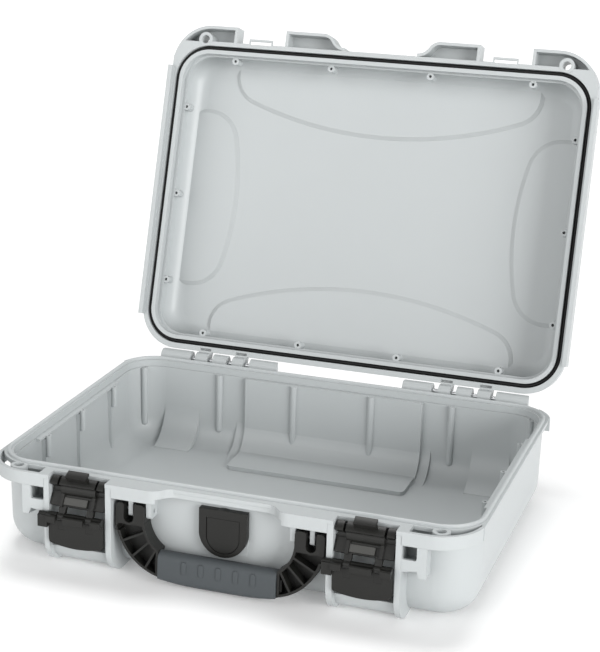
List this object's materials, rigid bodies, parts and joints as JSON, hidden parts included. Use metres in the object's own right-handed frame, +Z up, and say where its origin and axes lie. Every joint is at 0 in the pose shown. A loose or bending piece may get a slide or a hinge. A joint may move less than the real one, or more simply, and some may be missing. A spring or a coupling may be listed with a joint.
{
  "type": "hard equipment case",
  "caption": "Hard plastic carrying case standing open: deep base, gasketed lid on rear pin hinges, front draw latches, swinging handle with soft grip, shield-shaped vent and padlock eyes.",
  "frame": {"origin": "centre of the underside of the base, on the ground", "axes": "+Z up, -Y towards the latches and handle, +Y towards the hinges, +X to the right seen from the front"},
  "size_m": [0.448, 0.4867, 0.4126],
  "materials": {
    "shell": "moulded silver grey plastic, fine satin",
    "seal": "matt black seal",
    "steel": "plain steel pin",
    "dark_grey": "dark grey moulding",
    "grip": "soft blue-grey grip",
    "membrane": "white vent membrane",
    "black": "black moulding, satin"
  },
  "bodies": {
    "base": {"base_shell": "shell", "base_rim": "shell", "base_eye_left": "shell", "base_eye_right": "shell", "latch_housing_left": "shell", "latch_housing_right": "shell", "hinge_pin_left": "steel", "hinge_pin_right": "steel", "claw_pin_left": "steel", "claw_pin_right": "steel", "handle_pin_left": "steel", "handle_pin_right": "steel", "vent_bezel": "black", "vent_cover": "black", "vent_membrane": "membrane", "vent_seal": "seal", "vent_nut": "black"},
    "lid": {"lid_shell": "shell", "lid_eye_left": "shell", "lid_eye_right": "shell", "lid_gasket": "seal"},
    "handle": {"handle_frame": "black", "handle_grip": "grip"},
    "claw_left": {"latch_claw_left": "black", "lever_pin_left": "steel"},
    "lever_left": {"latch_lever_left": "black"},
    "lock_left": {"latch_lock_left": "dark_grey"},
    "claw_right": {"latch_claw_right": "black", "lever_pin_right": "steel"},
    "lever_right": {"latch_lever_right": "black"},
    "lock_right": {"latch_lock_right": "dark_grey"}
  },
  "joints": [
    {"name": "lid_hinge", "type": "hinge", "parent": "base", "child": "lid", "pos_m": [0, 0.169, 0.0848], "axis": [-1, 0, 0], "range_deg": [-107.6, 0]},
    {"name": "handle_hinge", "type": "hinge", "parent": "base", "child": "handle", "pos_m": [0, -0.1577, 0.0618], "axis": [-1, 0, 0], "range_deg": [0, 86]},
    {"name": "claw_left_hinge", "type": "hinge", "parent": "base", "child": "claw_left", "pos_m": [-0.1278, -0.162, 0.072], "axis": [-1, 0, 0], "range_deg": [0, 12]},
    {"name": "lever_left_hinge", "type": "hinge", "parent": "claw_left", "child": "lever_left", "pos_m": [-0.1278, -0.1755, 0.051], "axis": [-1, 0, 0], "range_deg": [0, 178]},
    {"name": "lock_left_slide", "type": "slide", "parent": "claw_left", "child": "lock_left", "axis": [1, 0, 0], "range_m": [0, 0.004]},
    {"name": "claw_right_hinge", "type": "hinge", "parent": "base", "child": "claw_right", "pos_m": [0.1278, -0.162, 0.072], "axis": [-1, 0, 0], "range_deg": [0, 12]},
    {"name": "lever_right_hinge", "type": "hinge", "parent": "claw_right", "child": "lever_right", "pos_m": [0.1278, -0.1755, 0.051], "axis": [-1, 0, 0], "range_deg": [0, 178]},
    {"name": "lock_right_slide", "type": "slide", "parent": "claw_right", "child": "lock_right", "axis": [1, 0, 0], "range_m": [0, 0.004]}
  ],
  "couplings": [
    {"joint": "claw_left_hinge", "follows": "lever_left_hinge", "ratio": 0.067416},
    {"joint": "claw_right_hinge", "follows": "lever_right_hinge", "ratio": 0.067416}
  ]
}
